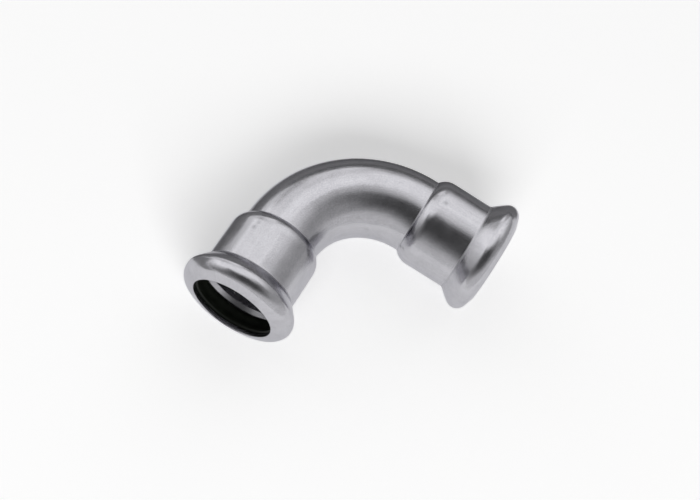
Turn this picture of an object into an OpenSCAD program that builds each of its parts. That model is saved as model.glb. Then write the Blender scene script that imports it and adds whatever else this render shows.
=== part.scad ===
// 90 degree press fit elbow, formed from one piece of stainless steel tube.
// The tube is bent, both ends are widened into plain sockets, and each socket ends in a rolled
// bead whose lip turns inwards and traps a rubber seal ring.
// The elbow lies at rest on both beads and on the outside of its bend, on the plane z = 0.

/* [Pipe] */
// Outer diameter of the pipe that both sockets take
pipe_d = 22; // [18:1:28]
// Play between the pipe and the socket's bore, on the diameter
pipe_play = 0.4; // [0.2:0.1:0.5]

/* [Tube and bend] */
// Wall of the tube that the elbow is formed from
wall = 1.5; // [1.2:0.1:1.7]
// Step in radius from the bent tube up to the socket
socket_step = 1.95; // [1.7:0.05:2.5]
// Radius of the bend, along the tube's middle
bend_r = 27; // [24:0.5:40]
// Angle that the bend turns through
bend_angle = 90; // [75:1:100]

/* [Socket] */
// Straight tube between the bend's end and the shoulder
lead_in = 0.6; // [0.3:0.1:8]
// Outer radius of the shoulder's rounding
shoulder_round = 5; // [4:0.1:7]
// Straight barrel between the shoulder and the bead's crease
barrel_l = 11.5; // [8:0.5:20]

/* [Bead] */
// How far the bead stands out from the barrel, on the radius
bead_rise = 3.3; // [2.6:0.1:3.5]
// Outer radius of the bead's rolled section
bead_round = 3; // [2.8:0.1:3.4]
// Run of the sloped back flank, from the crease to the middle of the rolled section
flank_run = 5.15; // [4.6:0.05:7]
// Run of the front, from the middle of the rolled section to the mouth
front_run = 3.7; // [3.5:0.05:4.5]
// Play between the pipe and the mouth's lip, on the diameter
lip_play = 0.9; // [0.6:0.1:1.2]
// Rounding of the lip's front edge
lip_round = 0.35; // [0.1:0.05:0.6]

/* [Seal ring] */
// Play between the pipe and the seal ring, on the diameter
seal_play = 0.2; // [0.1:0.1:0.4]
// Gap between the seal ring and the groove that holds it
seal_gap = 0.15; // [0.1:0.05:0.3]
// Rounding of the seal ring's front corner
seal_front_round = 0.7; // [0.4:0.05:0.9]
// Rounding of the seal ring's rear corner
seal_rear_round = 0.8; // [0.4:0.05:1]
// Distance of the rear corner's middle behind the middle of the rolled section
seal_tail = 1.7; // [1.2:0.1:1.8]

/* [Hidden] */
$fn = 144;

// Extra length of a cut past the face that it opens
overrun = wall;

// Radii of the socket, the tube, the lip and the seal ring
bore_r = (pipe_d + pipe_play) / 2;
socket_r = bore_r + wall;
tube_r = socket_r - socket_step;
lip_r = (pipe_d + lip_play) / 2;
seal_r = (pipe_d + seal_play) / 2;

// A section is drawn as [radius, distance along the port from the bend's end]
shoulder_core = socket_r - shoulder_round;
shoulder_end = lead_in + sqrt(pow(shoulder_round, 2) - pow(tube_r - shoulder_core, 2));
crease = [socket_r, shoulder_end + barrel_l];
roll = [socket_r + bead_rise - bead_round, crease[1] + flank_run];
mouth = [lip_r, roll[1] + front_run];

// Unit vector at an angle, and the angle of the way from one point to another
function unit(angle) = [cos(angle), sin(angle)];
function heading(from, to) = atan2(to[1] - from[1], to[0] - from[0]);

// Angle at which the outer tangent of two circles faces out, on the right of the way between them
function facing(c1, r1, c2, r2) = heading(c1, c2) - 90 + asin((r1 - r2) / norm(c2 - c1));

// Point where the line through a point, square to the angle it faces, reaches a radius
function reach(point, faces, radius) =
    point + unit(faces + 90) * (radius - point[0]) / cos(faces + 90);

flank_faces = facing(crease, 0, roll, bead_round);
front_faces = facing(roll, bead_round, mouth, 0);

// Points of the bead's outline, moved in from the outer surface by an inset
function flank_top(inset) = roll + (bead_round - inset) * unit(flank_faces);
function flank_foot(inset) = reach(flank_top(inset), flank_faces, socket_r - inset);
function front_top(inset) = roll + (bead_round - inset) * unit(front_faces);
function front_foot(inset) = reach(front_top(inset), front_faces, lip_r);

// Middles of the three roundings of the seal ring's section
seal_top = [roll, bead_round - wall - seal_gap];
seal_front = [
    reach(front_top(wall + seal_gap + seal_front_round), front_faces, seal_r + seal_front_round),
    seal_front_round
];
seal_rear = [[seal_r + seal_rear_round, roll[1] - seal_tail], seal_rear_round];

// Rest pose. The part turns about X until the bead's underside is level with the bend's, and
// each term is the lowest point of a ring of round section.
half_angle = bend_angle / 2;
roll_y = bend_r * cos(half_angle) - roll[1] * sin(half_angle);
drop = bend_r - roll_y;
excess = bead_round - tube_r;
slope = pow(roll[0] * sin(half_angle), 2);
rest_sin = (drop * excess + sqrt(pow(drop * excess, 2)
    - (pow(drop, 2) + slope) * (pow(excess, 2) - pow(roll[0], 2)))) / (pow(drop, 2) + slope);
tilt = asin(rest_sin);

// Place of the bend's centre, with the part's middle over the origin and its underside at z = 0
y_high = bend_r * cos(tilt) + tube_r;
y_low = roll_y * cos(tilt) - roll[0] * sqrt(1 - pow(sin(half_angle) * cos(tilt), 2)) - bead_round;
centre_y = -(y_high + y_low) / 2;
centre_z = bend_r * rest_sin + tube_r;

// Moves a shape from the bend's own plane to the rest pose
module at_rest() {
    translate([0, centre_y, centre_z]) rotate([-tilt, 0, 0]) children();
}

// Turns a port section about its axis and sets it at one end of the bend: side is -1 or 1
module port(side) {
    rotate([0, 0, side * (90 - half_angle)]) translate([side * bend_r, 0, 0])
        rotate([90, 0, 0]) rotate_extrude() children();
}

// Half section of a whole port, filled to its axis and inset from the outer surface
module port_outline(inset) {
    foot = flank_foot(inset);
    front = front_foot(inset);
    square([tube_r - inset, shoulder_end]);
    intersection() {
        translate([shoulder_core, shoulder_end]) circle(shoulder_round - inset);
        square([socket_r, shoulder_end]);
    }
    translate([0, shoulder_end]) square([socket_r - inset, foot[1] - shoulder_end]);
    translate(roll) circle(bead_round - inset);
    polygon([
        [0, foot[1]], foot, flank_top(inset), roll, front_top(inset), front, [0, front[1]]
    ]);
}

// Corner that is taken off the lip's front edge to round it
module lip_corner() {
    middle = reach(front_top(lip_round), front_faces, lip_r + lip_round);
    difference() {
        polygon([mouth, middle + lip_round * unit(front_faces), middle, [lip_r, middle[1]]]);
        translate(middle) circle(lip_round);
    }
}

// Section of the formed wall: tube, shoulder, barrel, bead and lip
module port_wall() {
    difference() {
        port_outline(0);
        port_outline(wall);
        translate([0, -overrun]) square([tube_r - wall, 2 * overrun]);
        translate([0, roll[1]]) square([lip_r, front_run + overrun]);
        lip_corner();
    }
}

// Section of the bent tube
module tube_wall() {
    difference() {
        circle(tube_r);
        circle(tube_r - wall);
    }
}

// Section of the seal ring: three roundings joined by their outer tangents
module seal_section() {
    corners = [seal_rear, seal_top, seal_front];
    turns = [for (i = [0:2]) facing(
        corners[i][0], corners[i][1], corners[(i + 1) % 3][0], corners[(i + 1) % 3][1]
    )];
    for (corner = corners) translate(corner[0]) circle(corner[1]);
    polygon([for (i = [0:2]) each [
        corners[i][0] + corners[i][1] * unit(turns[i]),
        corners[(i + 1) % 3][0] + corners[(i + 1) % 3][1] * unit(turns[i])
    ]]);
}

module elbow_body() {
    color([0.72, 0.72, 0.74]) at_rest() {
        rotate([0, 0, 90 - half_angle]) rotate_extrude(angle = bend_angle)
            translate([bend_r, 0]) tube_wall();
        port(-1) port_wall();
        port(1) port_wall();
    }
}

module seal_ring(side) {
    color([0.06, 0.07, 0.06]) at_rest() port(side) seal_section();
}

module left_seal_ring() {
    seal_ring(-1);
}

module right_seal_ring() {
    seal_ring(1);
}

elbow_body();
left_seal_ring();
right_seal_ring();
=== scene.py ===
"""Right-angle press elbow: one formed wall of stainless tube and two rubber seal rings.

The wall's outer and inner skins are one closed surface. It is a line of rounded corners along a
port, turned round the port's axis, and a ring of the tube carried round the bend.
Lengths are in millimetres up to the point where a mesh is made, and in metres from there on.
"""

import bpy
import numpy as np
from mathutils import Matrix, Vector


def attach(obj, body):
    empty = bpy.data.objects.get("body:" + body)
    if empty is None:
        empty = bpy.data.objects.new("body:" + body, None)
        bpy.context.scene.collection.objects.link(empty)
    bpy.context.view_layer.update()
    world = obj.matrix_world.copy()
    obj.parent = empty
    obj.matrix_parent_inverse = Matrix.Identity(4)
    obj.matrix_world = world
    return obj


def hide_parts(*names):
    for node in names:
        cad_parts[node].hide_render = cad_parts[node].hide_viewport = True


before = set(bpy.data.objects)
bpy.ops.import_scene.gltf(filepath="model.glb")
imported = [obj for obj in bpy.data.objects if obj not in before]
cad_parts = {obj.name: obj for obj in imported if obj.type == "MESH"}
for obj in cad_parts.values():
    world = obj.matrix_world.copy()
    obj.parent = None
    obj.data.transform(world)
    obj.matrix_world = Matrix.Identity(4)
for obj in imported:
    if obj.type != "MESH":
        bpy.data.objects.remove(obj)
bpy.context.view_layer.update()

MM = 0.001

# Sizes of the formed wall, as in the part's own source
WALL = 1.5
TUBE_R = 10.75
SOCKET_R = 12.7
BEND_R = 27.0
LEAD_IN = 0.6
SHOULDER_ROUND = 5.0
BARREL_L = 11.5
BEAD_RISE = 3.3
BEAD_ROUND = 3.0
FLANK_RUN = 5.15
FRONT_RUN = 3.7
LIP_R = 11.45

# Roundings that forming leaves: in the hollows at the foot of the shoulder and of the bead's
# flank, and at the front and back edge of the lip
BASE_ROUND = 0.35
CREASE_ROUND = 0.6
LIP_ROUND = 0.28
BURR_ROUND = 0.9

# Bow of the bead's flank: its rounding, and the degrees by which it turns past a straight flank
FLANK_BOW = 26.0
FLANK_TURN = 5

# Groove behind the seal ring: how far behind the roll's middle it ends, the angle that the strip
# before its end faces, the strip's length, and the rounding at both ends of the strip
GROOVE_BACK = 4.1
STRIP_FACES = 147.0
STRIP_L = 1.6
GROOVE_ROUND = 0.45

# Seal ring: radius of its hole, gap to the roll, roundings of its front and rear corner, how far
# the rear corner's middle lies behind the roll's, half the sink between its two ridges, and the
# height above the hole at which the sink has faded
SEAL_R = 11.1
SEAL_GAP = 0.15
SEAL_FRONT_ROUND = 0.6
SEAL_REAR_ROUND = 0.7
SEAL_TAIL = 1.7
SEAL_SINK = 0.07
SEAL_SKIN = 0.1

# Rest pose: the elbow lies on both beads and on the outside of its bend
TILT = np.radians(12.83476)
CENTRE = np.array([0.0, -14.324704, 16.747782])

# How dull the metal is inside the wall and in the two hollows
DULL_INSIDE = 0.1
DULL_HOLLOW = 0.6

# Points round a ring, and rings round the bend on its inner and outer skin
ROUND = 216
INNER_RINGS = 44
OUTER_RINGS = 92
RING_ANGLES = np.linspace(0, 2 * np.pi, ROUND, endpoint=False)

# Small marks that forming left on the ports: (side, distance, angle round, width, depth)
PORT_MARKS = [
    (-1, 6.7, 61.5, 0.50, 0.07),
    (-1, 5.2, 63.2, 0.45, 0.05),
    (-1, 24.48, 161.0, 0.30, 0.06),
    (1, 5.15, 86.0, 0.55, 0.09),
    (1, 4.75, 87.5, 0.35, 0.05),
    (1, 0.93, 58.3, 0.55, 0.12),
    (1, 0.9, 175.7, 0.50, 0.28),
    (1, 1.8, 170.2, 0.40, 0.16),
    (1, 21.2, 61.2, 0.35, 0.09),
]

# Small marks on the bend: (angle of the bend, angle round, width, depth)
BEND_MARKS = [
    (87.9, 143.0, 0.40, 0.016),
    (86.2, 144.5, 0.35, 0.014),
    (84.6, 146.5, 0.35, 0.012),
    (78.4, 164.9, 0.40, 0.018),
    (76.8, 166.5, 0.35, 0.014),
    (76.3, 150.9, 0.35, 0.014),
    (73.5, 153.0, 0.35, 0.012),
]

# Depth from which a mark has its full painted shade, and how fast the painted shade of a shallower
# one fades
PIT_SHADE_DEPTH = 0.1
PIT_SHADE_FADE = 0.6

# Slow waves that forming leaves all over the wall: seed, how many, shortest and longest, and
# rise per length
WAVE_SEED = 22
WAVES = 28
WAVE_LENGTHS = (4.5, 15.0)
WAVE_RISE = 0.00028


# ---------------------------------------------------------------- lines

def unit(degrees):
    """Unit vectors at the given angles, as [radius, distance]."""
    a = np.radians(degrees)
    return np.stack([np.cos(a), np.sin(a)], axis=-1)


def facing(c1, r1, c2, r2):
    """Angle that the outer tangent of two circles faces, on the right of the way between them."""
    way = np.subtract(c2, c1)
    heading = np.degrees(np.arctan2(way[1], way[0]))
    return heading - 90 + np.degrees(np.arcsin((r1 - r2) / np.hypot(*way)))


def beside_line(point, faces, radius, off):
    """Point at a radius, beside the line through a point, square to the angle that it faces.

    The point lies a distance off the line, on the side that the line faces.
    """
    start, along = point + off * unit(faces), unit(faces + 90)
    return start + along * (radius - start[0]) / along[0]


def hollow_behind(middle, rounding, radius, hollow):
    """Middle and facing of a hollow that lies at a radius and touches a rounding from behind."""
    back = np.sqrt((rounding + hollow) ** 2 - (radius - middle[0]) ** 2)
    return np.array([radius, middle[1] - back]), np.degrees(np.arctan2(-back, radius - middle[0]))


def rounded_line(corners):
    """Points, facings and corner numbers along rounded corners joined by straight runs.

    A corner is (middle, rounding, first angle, last angle, steps, steps of the run before it), and
    it has no run where it carries straight on from the corner before it. A run's points have the
    number of the corner that it leads to.
    A point is the middle plus the rounding times the unit vector of the angle that it faces, and
    a hollow corner has a negative rounding.
    """
    points, faces, numbers = [], [], []
    for number, (middle, rounding, first, last, steps, run) in enumerate(corners):
        angle = np.linspace(first, last, steps)
        arc = np.asarray(middle) + rounding * unit(angle)
        if points and not run:
            arc, angle = arc[1:], angle[1:]
        elif points:
            share = np.linspace(0, 1, run + 1)[1:-1, None]
            points.append(points[-1][-1] * (1 - share) + arc[0] * share)
            faces.append(np.full(len(share), first))
            numbers.append(np.full(len(share), number))
        points.append(arc)
        faces.append(angle)
        numbers.append(np.full(len(arc), number))
    return np.concatenate(points), np.concatenate(faces), np.concatenate(numbers)


shoulder_core = SOCKET_R - SHOULDER_ROUND
shoulder_end = LEAD_IN + np.sqrt(SHOULDER_ROUND**2 - (TUBE_R - shoulder_core) ** 2)
shoulder = np.array([shoulder_core, shoulder_end])
crease = np.array([SOCKET_R, shoulder_end + BARREL_L])
roll = np.array([SOCKET_R + BEAD_RISE - BEAD_ROUND, crease[1] + FLANK_RUN])
mouth = np.array([LIP_R, roll[1] + FRONT_RUN])
flank_faces = facing(crease, 0, roll, BEAD_ROUND)
front_faces = facing(roll, BEAD_ROUND, mouth, 0)


def port_line():
    """The wall's line of one port, from the bend's end out over the bead and back inside.

    Returns its points, and for each the angle that the wall's outer skin faces there, and
    how dull the metal is: most in the two hollows.
    """
    base, base_faces = hollow_behind(shoulder, SHOULDER_ROUND, TUBE_R + BASE_ROUND, BASE_ROUND)
    flank_end = flank_faces + FLANK_TURN
    bow = roll + (BEAD_ROUND - FLANK_BOW) * unit(flank_end)
    fold, flank_start = hollow_behind(bow, FLANK_BOW, SOCKET_R + CREASE_ROUND, CREASE_ROUND)
    lip = beside_line(mouth, front_faces, LIP_R + LIP_ROUND, -LIP_ROUND)
    burr = beside_line(mouth, front_faces, LIP_R + BURR_ROUND, BURR_ROUND - WALL)
    edge = np.array([SOCKET_R - WALL + GROOVE_ROUND, roll[1] - GROOVE_BACK])
    knee = edge - STRIP_L * unit(STRIP_FACES + 90)
    way = roll - knee
    groove_end = np.degrees(np.arctan2(way[1], way[0])
                            + np.arccos((BEAD_ROUND - WALL + GROOVE_ROUND) / np.hypot(*way)))
    back_of_front, back_of_base = front_faces + 180, base_faces + 180
    outer = [
        ([TUBE_R, 0], 0, 0, 0, 1, 0),
        (base, -BASE_ROUND, 0, base_faces, 9, 1),
        (shoulder, SHOULDER_ROUND, base_faces, 0, 16, 0),
        (fold, -CREASE_ROUND, 0, flank_start, 8, 25),
        (bow, FLANK_BOW, flank_start, flank_end, 11, 0),
        (roll, BEAD_ROUND, flank_end, front_faces, 27, 0),
        (lip, LIP_ROUND, front_faces, 180, 8, 6),
    ]
    inner = [
        (burr, BURR_ROUND, 180, back_of_front, 6, 2),
        (roll, WALL - BEAD_ROUND, back_of_front, groove_end, 9, 3),
        (knee, GROOVE_ROUND, groove_end, STRIP_FACES, 4, 2),
        (edge, GROOVE_ROUND, STRIP_FACES, 180, 5, 5),
        (shoulder, WALL - SHOULDER_ROUND, 180, back_of_base, 8, 12),
        (base, BASE_ROUND + WALL, back_of_base, 180, 5, 0),
        ([TUBE_R - WALL, 0], 0, 180, 180, 1, 2),
    ]
    line, faces, number = rounded_line(outer + inner)
    inside = number >= len(outer)
    # The base and the fold, without the straight runs before them
    hollow = ((number == 1) | (number == 3)) & (faces < -1)
    dull = np.select([inside, hollow], [DULL_INSIDE, DULL_HOLLOW], 0.0)
    return line, np.minimum(np.where(inside, faces - 180, faces), front_faces), dull


def seal_line():
    """Closed line of the seal ring's section: three roundings joined by straight runs.

    Its inner side then sinks in the middle by a cosine, so that it meets the pipe on two ridges.
    """
    top_r = BEAD_ROUND - WALL - SEAL_GAP
    front = beside_line(mouth, front_faces, SEAL_R + SEAL_FRONT_ROUND, -(WALL + SEAL_FRONT_ROUND))
    rear = np.array([SEAL_R + SEAL_REAR_ROUND, roll[1] - SEAL_TAIL])
    front_side = facing(roll, top_r, front, SEAL_FRONT_ROUND)
    inner_side = facing(front, SEAL_FRONT_ROUND, rear, SEAL_REAR_ROUND)
    rear_side = facing(rear, SEAL_REAR_ROUND, roll, top_r)
    if inner_side <= front_side:
        inner_side += 360
    line, _, _ = rounded_line([
        (roll, top_r, rear_side, front_side, 20, 0),
        (front, SEAL_FRONT_ROUND, front_side, inner_side, 14, 8),
        (rear, SEAL_REAR_ROUND, inner_side, rear_side + 360, 14, 24),
    ])
    closing = np.linspace(0, 1, 8)[1:-1, None]
    line = np.concatenate([line, line[-1] * (1 - closing) + line[0] * closing])
    share = np.clip((line[:, 1] - rear[1]) / (front[1] - rear[1]), 0, 1)
    near_hole = np.clip(1 - (line[:, 0] - SEAL_R) / SEAL_SKIN, 0, 1)
    line[:, 0] += SEAL_SINK * (1 - np.cos(2 * np.pi * share)) * near_hole
    return line


# ---------------------------------------------------------------- surfaces

def port_axes(side):
    """End of the bend, the port's axis and the two directions across it: side is -1 or 1."""
    half = np.sqrt(0.5)
    end = np.array([side * half, half, 0]) * BEND_R
    axis, out = np.array([side * half, -half, 0]), np.array([side * half, half, 0])
    return end, axis, out, np.array([0, 0, 1.0])


def at_rest(points):
    """Turns points of the bend's own plane about X, shifts them to the rest pose, in metres."""
    c, s = np.cos(TILT), np.sin(TILT)
    turn = np.array([[1, 0, 0], [0, c, s], [0, -s, c]])
    return (points @ turn.T + CENTRE) * MM


def stations(line, side, faces=0.0, dull=0.0):
    """Each point of a port's line as a ring: middle, way out, radius, facing, axis, dullness."""
    end, axis, out, _ = port_axes(side)
    rows = len(line)
    return (end + line[:, 1:] * axis, np.repeat(out[None], rows, axis=0), line[:, 0],
            np.broadcast_to(faces, rows), np.repeat(axis[None], rows, axis=0),
            np.broadcast_to(dull, rows))


def bend_stations(start, stop, steps, radius, dull):
    """Rings round the bend between two angles, both left out, at one radius."""
    angle = np.radians(np.linspace(start, stop, steps + 2)[1:-1])
    out = np.stack([np.cos(angle), np.sin(angle), 0 * angle], axis=1)
    return (out * BEND_R, out, np.full(steps, radius), np.zeros(steps), np.zeros((steps, 3)),
            np.full(steps, dull))


def spokes(out):
    """Unit vectors round each ring, from its way out towards the upright of the bend's plane."""
    return (np.cos(RING_ANGLES)[None, :, None] * out[:, None]
            + np.sin(RING_ANGLES)[None, :, None] * np.array([0, 0, 1.0]))


def closed_grid(rows, columns):
    """Faces of a grid that closes on itself both ways, each with four corners."""
    i, j = np.meshgrid(np.arange(rows), np.arange(columns), indexing="ij")
    i2, j2 = (i + 1) % rows, (j + 1) % columns
    return np.stack([i * columns + j, i * columns + j2, i2 * columns + j2, i2 * columns + j],
                    axis=-1).reshape(-1, 4)


def make_piece(name, points, faces, attributes=()):
    """Mesh object at the origin, from points in metres and faces of four corners."""
    mesh = bpy.data.meshes.new(name)
    mesh.from_pydata(points.reshape(-1, 3), [], faces)
    for label, values in attributes:
        kind, field = ("FLOAT_VECTOR", "vector") if values.ndim > 2 else ("FLOAT", "value")
        layer = mesh.attributes.new(label, kind, "POINT")
        layer.data.foreach_set(field, np.ascontiguousarray(values, np.float32).ravel())
    mesh.shade_smooth()
    mesh.update()
    piece = bpy.data.objects.new(name, mesh)
    bpy.context.scene.collection.objects.link(piece)
    return piece


def slow_waves(points):
    """Sum of sines along seeded random ways, each as high as it is long, taken below nought."""
    draw = np.random.default_rng(WAVE_SEED)
    way = draw.normal(size=(WAVES, 3))
    way /= np.linalg.norm(way, axis=1)[:, None]
    length = draw.uniform(*WAVE_LENGTHS, WAVES)
    turn = points @ (2 * np.pi * way / length[:, None]).T + draw.uniform(0, 2 * np.pi, WAVES)
    height = np.sin(turn) @ length * WAVE_RISE
    return height - height.max()


def mark_spots(line):
    """Where each mark sits on the outer surface, with its width and depth."""
    rising = line[:np.argmax(line[:, 1]) + 1]
    for side, along, around, width, depth in PORT_MARKS:
        end, axis, outward, up = port_axes(side)
        a, r = np.radians(around), np.interp(along, rising[:, 1], rising[:, 0])
        yield end + along * axis + r * (np.cos(a) * outward + np.sin(a) * up), width, depth
    for turn, around, width, depth in BEND_MARKS:
        t, a = np.radians(turn), np.radians(around)
        out = np.array([np.cos(t), np.sin(t), 0])
        yield (BEND_R + TUBE_R * np.cos(a)) * out + [0, 0, TUBE_R * np.sin(a)], width, depth


def formed_wall():
    """The whole wall: right port, inside of the bend, left port backwards, outside of the bend.

    A point is its ring's middle plus the radius times (cos a, sin a) on the ring's two directions.
    Slow waves and the marks, each a depth times a bell curve, then move it along the way that the
    outer skin faces. Each mark also carries a painted shade, which darkens the colour in its pit.
    """
    line, faces, dull = port_line()
    rings = [
        stations(line, 1, faces, dull),
        bend_stations(45, 135, INNER_RINGS, TUBE_R - WALL, DULL_INSIDE),
        stations(line[::-1], -1, faces[::-1], dull[::-1]),
        bend_stations(135, 45, OUTER_RINGS, TUBE_R, 0.0),
    ]
    middle, out, radius, lean, axis, dull = (np.concatenate(values) for values in zip(*rings))
    spoke = spokes(out)
    points = middle[:, None] + radius[:, None, None] * spoke
    lean = np.radians(lean)[:, None, None]
    skin_faces = np.cos(lean) * spoke + np.sin(lean) * axis[:, None]
    rise, pit_shade = slow_waves(points), np.zeros(points.shape[:2])
    for spot, width, depth in mark_spots(line):
        bell = np.exp(-((points - spot) ** 2).sum(axis=-1) / width**2)
        rise -= depth * bell
        # Painted shade: a darker colour in each mark's pit, fuller for a deeper mark
        pit_shade = np.maximum(pit_shade, bell * min(1, (depth / PIT_SHADE_DEPTH) ** PIT_SHADE_FADE))
    points += rise[..., None] * skin_faces
    # Place on the wall for lengthwise lines: across as a point of a circle, and the way along
    step = np.linalg.norm(np.diff(middle, axis=0, append=middle[:1]), axis=1)
    along = np.cumsum(step)
    place = np.stack([np.broadcast_to(TUBE_R * np.cos(RING_ANGLES), rise.shape),
                      np.broadcast_to(TUBE_R * np.sin(RING_ANGLES), rise.shape),
                      np.broadcast_to(along[:, None], rise.shape)], axis=-1) * MM
    return make_piece("formed_elbow", at_rest(points), closed_grid(*rise.shape),
                      [("along_wall", place), ("mark_pit_shade", pit_shade),
                       ("dull_metal", np.broadcast_to(dull[:, None], rise.shape))])


def seal_ring(name, side):
    """The seal ring of one port: its section turned round the port's axis."""
    line = seal_line()
    middle, out, radius, *_ = stations(line, side)
    points = middle[:, None] + radius[:, None, None] * spokes(out)
    return make_piece(name, at_rest(points), closed_grid(len(line), ROUND))


# ---------------------------------------------------------------- nodes

def add(tree, kind, inputs=None, **settings):
    """Node of a kind, with its settings and the values or links of its inputs."""
    node = tree.nodes.new(kind)
    for key, value in settings.items():
        setattr(node, key, value)
    for key, value in (inputs or {}).items():
        if isinstance(value, bpy.types.NodeSocket):
            tree.links.new(value, node.inputs[key])
        else:
            node.inputs[key].default_value = value
    return node


def reckon(tree, operation, a, b=0.0):
    """Result of a sum on one or two values."""
    return add(tree, "ShaderNodeMath", {0: a, 1: b}, operation=operation).outputs[0]


def weigh(tree, *parts):
    """Sum of values, each times its weight."""
    total = None
    for value, weight in parts:
        part = reckon(tree, "MULTIPLY", value, weight)
        total = part if total is None else reckon(tree, "ADD", total, part)
    return total


def spread(tree, value, low, high, to_low=0.0, to_high=1.0, kind="LINEAR"):
    """Carries a value from one range to another."""
    return add(tree, "ShaderNodeMapRange", {0: value, 1: low, 2: high, 3: to_low, 4: to_high},
               interpolation_type=kind).outputs[0]


def blend_colours(tree, share, one, other):
    """Colour between two, at a share of the way from the one to the other."""
    return add(tree, "ShaderNodeMix", {0: share, 6: one, 7: other}, data_type="RGBA").outputs[2]


def attribute(tree, name, output="Fac"):
    """Value that a mesh carries under a name."""
    return add(tree, "ShaderNodeAttribute", attribute_name=name).outputs[output]


def new_material(name, **values):
    """Material with a Principled shader that has the given constant values."""
    material = bpy.data.materials.new(name)
    material.use_nodes = True
    tree = material.node_tree
    shader = tree.nodes["Principled BSDF"]
    for key, value in values.items():
        shader.inputs[key.replace("_", " ")].default_value = value
    return material, tree, shader


# ---------------------------------------------------------------- materials

# Range that the noises mostly keep to, their roughness, and how much longer than wide a line is
NOISE_RANGE = (0.3, 0.7)
NOISE_ROUGHNESS = 0.6
LINE_STRETCH = (1, 1, 0.04)

STEEL_DARK = (0.44, 0.436, 0.462, 1)
STEEL_PALE = (0.565, 0.56, 0.592, 1)
STEEL_GRAZING = (0.78, 0.78, 0.8, 1)
# Colour of the painted shade in the marks' pits
STEEL_PIT_SHADE = (0.12, 0.12, 0.13, 1)
RUBBER_DARK = (0.004, 0.005, 0.0035, 1)
RUBBER_PALE = (0.009, 0.0105, 0.008, 1)


def worked_skin():
    """Group of three values over a surface: cloudy mottle, fine grain, lines drawn lengthwise."""
    group = bpy.data.node_groups.new("worked_skin", "ShaderNodeTree")
    for label, kind in (("Place", "Vector"), ("Along", "Vector"), ("Mottle Scale", "Float"),
                        ("Grain Scale", "Float"), ("Line Scale", "Float")):
        group.interface.new_socket(label, in_out="INPUT", socket_type="NodeSocket" + kind)
    for label in ("Mottle", "Grain", "Lines"):
        group.interface.new_socket(label, in_out="OUTPUT", socket_type="NodeSocketFloat")
    given = group.nodes.new("NodeGroupInput").outputs
    drawn = add(group, "ShaderNodeMapping", {"Vector": given["Along"], "Scale": LINE_STRETCH})
    put = group.nodes.new("NodeGroupOutput").inputs
    for label, vector, scale, detail in (
            ("Mottle", given["Place"], given["Mottle Scale"], 4),
            ("Grain", given["Place"], given["Grain Scale"], 2),
            ("Lines", drawn.outputs[0], given["Line Scale"], 3)):
        noise = add(group, "ShaderNodeTexNoise", {"Vector": vector, "Scale": scale,
                                                  "Detail": detail, "Roughness": NOISE_ROUGHNESS})
        group.links.new(noise.outputs["Fac"], put[label])
    return group


def worked(tree, along=None, *, mottle, grain, lines):
    """The three values of the worked skin, at the scales that a material gives."""
    place = add(tree, "ShaderNodeTexCoord").outputs["Object"]
    node = add(tree, "ShaderNodeGroup", {
        "Place": place, "Along": place if along is None else along,
        "Mottle Scale": mottle, "Grain Scale": grain, "Line Scale": lines}, node_tree=skin)
    return (node.outputs[label] for label in ("Mottle", "Grain", "Lines"))


def finish_shader(tree, shader, colour, rough, height, strength, distance):
    """Links a varying colour, roughness and bump to a Principled shader."""
    bump = add(tree, "ShaderNodeBump", {"Height": height, "Strength": strength,
                                        "Distance": distance})
    tree.links.new(colour, shader.inputs["Base Color"])
    tree.links.new(rough, shader.inputs["Roughness"])
    tree.links.new(bump.outputs[0], shader.inputs["Normal"])


def steel_material():
    """Satin stainless: mottled by pickling, with fine grain, faint lines drawn lengthwise, and
    painted shade in the marks.
    """
    material, tree, shader = new_material("satin_stainless", Metallic=1.0,
                                          Specular_Tint=STEEL_GRAZING)
    mottle, grain, lines = worked(tree, attribute(tree, "along_wall", "Vector"),
                                  mottle=260, grain=3000, lines=1100)
    tone = weigh(tree, (mottle, 0.35), (grain, 0.45), (lines, 0.2))
    colour = blend_colours(tree, spread(tree, tone, 0.36, 0.64), STEEL_DARK, STEEL_PALE)
    # Painted shade in the marks, blended halfway to its dark colour
    pit_shaded = reckon(tree, "MULTIPLY", attribute(tree, "mark_pit_shade"), 0.5)
    colour = blend_colours(tree, pit_shaded, colour, STEEL_PIT_SHADE)
    rough = weigh(tree, (spread(tree, mottle, *NOISE_RANGE, 0.17, 0.23), 1),
                  (spread(tree, grain, *NOISE_RANGE, -0.02, 0.03), 1),
                  (attribute(tree, "dull_metal"), 0.3))
    height = weigh(tree, (grain, 0.65), (lines, 0.35))
    finish_shader(tree, shader, colour, rough, height, strength=0.2, distance=0.0001)
    return material


def rubber_material():
    """Black seal rubber with a soft sheen and a slightly uneven skin."""
    material, tree, shader = new_material("seal_rubber", Specular_IOR_Level=0.15)
    cloud, fine, _ = worked(tree, mottle=500, grain=4000, lines=1000)
    colour = blend_colours(tree, spread(tree, cloud, *NOISE_RANGE), RUBBER_DARK, RUBBER_PALE)
    rough = spread(tree, cloud, *NOISE_RANGE, 0.36, 0.5)
    finish_shader(tree, shader, colour, rough, fine, strength=0.15, distance=0.00005)
    return material


# ---------------------------------------------------------------- pieces

skin = worked_skin()
steel = steel_material()
rubber = rubber_material()

elbow = formed_wall()
elbow.data.materials.append(steel)
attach(elbow, "root")
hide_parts("elbow_body")

for side_name, side in (("left", -1), ("right", 1)):
    seal = seal_ring(side_name + "_seal", side)
    seal.data.materials.append(rubber)
    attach(seal, "root")
    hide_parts(side_name + "_seal_ring")


# ---------------------------------------------------------------- studio

# Floor: half its width in metres, its grey, and the share of its paleness that doesn't come from
# the light on it
FLOOR_REACH = 3.0
FLOOR_GREY = 0.9
FLOOR_GLOW = 0.34

# Share of the studio's light that falls on the floor, where the fill lamp adds the rest
FLOOR_LIGHT = 0.52

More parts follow.
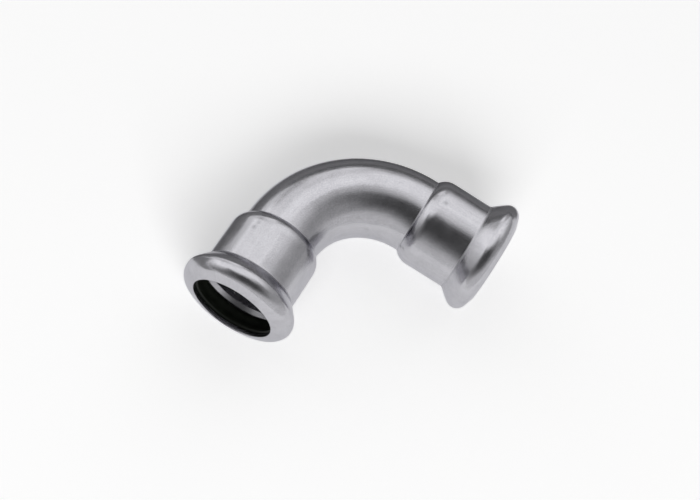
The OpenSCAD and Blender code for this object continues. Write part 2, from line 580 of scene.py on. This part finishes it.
# Studio panels, in a studio that leans back with the photograph's own up: (turn about its up,
# half width, height above its horizon, half height, softness across and up, all in degrees,
# and brightness). Each is laid over the ones before it, and the base lies under them all.
PANELS = [
    (180, 190, -60.0, 48.0, 2, 10, 0.77),
    (204, 50, 32.2, 37.2, 37, 20, 0.08),
    (-84, 22, 6.6, 4.0, 21, 9, 0.17),
    (118, 43, 6.9, 8.1, 13, 2, 0.43),
    (-33, 76, 59.2, 15.0, 5, 31, 1.72),
    (130, 49, 51.9, 12.1, 6, 7, 0.56),
    (103, 36, 56.1, 20.2, 4, 19, 1.20),
    (0, 190, 91.5, 35.0, 2, 4, 1.26),
    (19, 48, 73.5, 15.8, 7, 2, 1.00),
    (196, 42, 60.2, 7.8, 4, 11, 1.18),
    (-6, 15, 57.0, 9.0, 8, 7, 0.6),
]
STUDIO_BASE = 0.50
STUDIO_UP = (0.0, 0.8, 0.6)
STUDIO_AHEAD = (0.0, 0.6, -0.8)

# Fill lamp: compass angle, height in degrees, distance, width and height in metres, and power
FILL_COMPASS = 200
FILL_LEVEL = 42
FILL_DISTANCE = 3.0
FILL_SIZE = (3.0, 1.6)
FILL_POWER = 59.0

# Camera: place in millimetres, its view and its up, and lens and sensor width in millimetres
CAMERA_SPOT = (-108.400, -49.657, 353.205)
CAMERA_LOOK = (0.29763, 0.13176, -0.94554)
CAMERA_UP = (0.15559, 0.97049, 0.18421)
CAMERA_LENS = 69.714
CAMERA_SENSOR = 36

# Card beyond the part, a painted shadow of the part on the floor, and dark surroundings, that only
# reflections show: radius and points of its near edge round the bend's centre, the centre's y, how
# far the edge's straight ends reach left and right, the fold's ends in x and its y, height above
# the floor, the standing sheet's height at places along x, and its grey on the floor and upright
NEAR_EDGE_R = 46
NEAR_EDGE_POINTS = 19
NEAR_EDGE_Y = -14.3
NEAR_EDGE_LEFT = (-12, -12)
NEAR_EDGE_RIGHT = (60, -16)
FOLD_X = (-60, 260)
FOLD_Y = 70.0
BEYOND_LIFT = 0.3
UPRIGHT_X = (-35, -20, -8, 15, 35, 60)
UPRIGHT_HEIGHTS = (2, 13, 20, 20, 23.5, 25.7)
SHADE_CARD_GREYS = (0.33, 0.17)

# Heights in metres between which the card beyond changes from the one grey to the other
GREY_CHANGE = (0.0005, 0.008)

# Card on the left: middle of its ring, compass angles and radii of its near edge, how many
# points it has, the far edge's radius, and its grey
LEFT_MIDDLE = (-38.0, -5.0, 0.2)
LEFT_COMPASS = (-100, -60, -36, -20)
LEFT_NEAR = (72, 50, 25, 18)
LEFT_POINTS = 17
LEFT_FAR = 330
LEFT_GREY = 0.42


def grey(value):
    """Neutral colour of one value."""
    return value, value, value, 1


def floor_plane():
    """Plain pale floor that is a little pale of itself, so that its shadow stays light."""
    ends = np.array([[-1, -1, 0], [1, -1, 0], [1, 1, 0], [-1, 1, 0]])
    floor = make_piece("floor", FLOOR_REACH * ends, [[0, 1, 2, 3]])
    material, tree, shader = new_material("pale_floor", Base_Color=grey(FLOOR_GREY), Roughness=0.9,
                                          Specular_IOR_Level=0.1, Emission_Color=grey(1))
    path = add(tree, "ShaderNodeLightPath").outputs
    glow = weigh(tree, *((path["Is %s Ray" % kind], FLOOR_GLOW)
                         for kind in ("Camera", "Glossy", "Transmission")))
    tree.links.new(glow, shader.inputs["Emission Strength"])
    floor.data.materials.append(material)


def card(name, rows, value):
    """Ruled grey sheet between rows of points in millimetres, which only reflections show."""
    points = np.stack(rows) * MM
    columns = points.shape[1]
    i, j = np.meshgrid(np.arange(len(rows) - 1), np.arange(columns - 1), indexing="ij")
    k = i * columns + j
    faces = np.stack([k, k + 1, k + 1 + columns, k + columns], axis=-1).reshape(-1, 4)
    sheet = make_piece(name, points, faces)
    material, tree, shader = new_material(name + "_grey", Base_Color=grey(value), Roughness=1.0,
                                          Specular_IOR_Level=0.0)
    sheet.data.materials.append(material)
    sheet.visible_camera = sheet.visible_diffuse = sheet.visible_shadow = False
    return tree, shader


def shade_card_beyond():
    """Dark card beyond the part: it lies on the floor up to a straight fold, then stands up.

    Its near edge follows the outside of the bend at a set distance, with a straight end each way,
    and the fold lies beyond the picture. Its grey darkens from the floor up. The lying part is a
    painted shadow of the part on the floor, and the standing part dark surroundings, both seen
    only in reflections.
    """
    turn = np.radians(np.linspace(-45, 45, NEAR_EDGE_POINTS))
    near = np.stack([NEAR_EDGE_R * np.sin(turn), NEAR_EDGE_R * np.cos(turn) + NEAR_EDGE_Y], axis=1)
    near = np.concatenate([near[:1] + [NEAR_EDGE_LEFT], near, near[-1:] + [NEAR_EDGE_RIGHT]])
    fold = np.stack([np.linspace(*FOLD_X, len(near)), np.full(len(near), FOLD_Y)], axis=1)
    low = np.full(len(near), BEYOND_LIFT)
    high = low + np.interp(fold[:, 0], UPRIGHT_X, UPRIGHT_HEIGHTS)
    rows = [np.column_stack(row) for row in ((near, low), (fold, low), (fold, high))]
    # Painted shadow and dark surroundings in reflections: grey on the floor, darker upright
    tree, shader = card("shade_card_beyond", rows, SHADE_CARD_GREYS[0])
    place = add(tree, "ShaderNodeTexCoord").outputs["Object"]
    height = add(tree, "ShaderNodeSeparateXYZ", {0: place}).outputs[2]
    share = spread(tree, height, *GREY_CHANGE, kind="SMOOTHSTEP")
    shade = blend_colours(tree, share, *(grey(value) for value in SHADE_CARD_GREYS))
    tree.links.new(shade, shader.inputs["Base Color"])


def card_left():
    """Dark card on the floor to the left: a piece of a flat ring round the left bead."""
    turn = np.linspace(LEFT_COMPASS[0], LEFT_COMPASS[-1], LEFT_POINTS)
    ring = np.stack([np.sin(np.radians(turn)), np.cos(np.radians(turn)), 0 * turn], axis=1)
    near = np.interp(turn, LEFT_COMPASS, LEFT_NEAR)[:, None]
    card("card_left", [np.array(LEFT_MIDDLE) + reach * ring for reach in (near, LEFT_FAR)],
         LEFT_GREY)


def studio_world():
    """Soft panels round a dim studio, each a smooth patch of compass angle and height."""
    world = bpy.data.worlds.new("studio")
    bpy.context.scene.world = world
    world.use_nodes = True
    tree = world.node_tree
    background = tree.nodes["Background"]
    ray = add(tree, "ShaderNodeTexCoord").outputs["Generated"]

    def part_along(way):
        return add(tree, "ShaderNodeVectorMath", {0: ray, 1: way},
                   operation="DOT_PRODUCT").outputs["Value"]

    def apart(value, other):
        return reckon(tree, "ABSOLUTE", reckon(tree, "SUBTRACT", value, other))

    def patch(value, half, soft):
        ends = (float(np.radians(half - soft)), float(np.radians(half + soft)))
        return spread(tree, value, *ends, 1.0, 0.0, "SMOOTHSTEP")

    height = reckon(tree, "ARCSINE", part_along(STUDIO_UP))
    total = STUDIO_BASE
    right, front = np.array([1.0, 0, 0]), np.array(STUDIO_AHEAD)
    for compass, half_w, level, half_h, soft_w, soft_h, bright in PANELS:
        a = np.radians(compass)
        across = part_along(tuple(np.cos(a) * right - np.sin(a) * front))
        ahead = part_along(tuple(np.sin(a) * right + np.cos(a) * front))
        turn = reckon(tree, "ABSOLUTE", reckon(tree, "ARCTAN2", across, ahead))
        rise = apart(height, float(np.radians(level)))
        mask = reckon(tree, "MULTIPLY", patch(turn, half_w, soft_w), patch(rise, half_h, soft_h))
        kept = reckon(tree, "MULTIPLY", reckon(tree, "SUBTRACT", 1.0, mask), total)
        total = reckon(tree, "ADD", kept, reckon(tree, "MULTIPLY", mask, bright))
    diffuse = add(tree, "ShaderNodeLightPath").outputs["Is Diffuse Ray"]
    total = reckon(tree, "MULTIPLY", total, spread(tree, diffuse, 0, 1, 1.0, FLOOR_LIGHT))
    tree.links.new(total, background.inputs["Strength"])
    background.inputs["Color"].default_value = (1, 1, 1, 1)


def fill_lamp():
    """Broad soft lamp aimed at the part, which reflections don't show."""
    a, e = np.radians(FILL_COMPASS), np.radians(FILL_LEVEL)
    way = Vector((np.sin(a) * np.cos(e), np.cos(a) * np.cos(e), np.sin(e)))
    light = bpy.data.lights.new("fill", "AREA")
    light.shape = "RECTANGLE"
    light.size, light.size_y = FILL_SIZE
    light.energy = FILL_POWER
    lamp = bpy.data.objects.new("fill", light)
    lamp.location = way * FILL_DISTANCE
    lamp.rotation_euler = (-lamp.location).to_track_quat("-Z", "Y").to_euler()
    lamp.visible_glossy = False
    bpy.context.scene.collection.objects.link(lamp)


def photo_camera():
    """Camera at the photograph's viewing angle."""
    look = Vector(CAMERA_LOOK).normalized()
    right = look.cross(Vector(CAMERA_UP)).normalized()
    turn = Matrix((right, right.cross(look), -look)).transposed()
    data = bpy.data.cameras.new("camera")
    data.lens = CAMERA_LENS
    data.sensor_width = CAMERA_SENSOR
    data.clip_start = 0.01
    camera = bpy.data.objects.new("camera", data)
    camera.matrix_world = Matrix.Translation(Vector(CAMERA_SPOT) * MM) @ turn.to_4x4()
    bpy.context.scene.collection.objects.link(camera)
    bpy.context.scene.camera = camera


floor_plane()
shade_card_beyond()
card_left()
studio_world()
fill_lamp()
photo_camera()
bpy.context.scene.view_settings.view_transform = "Standard"
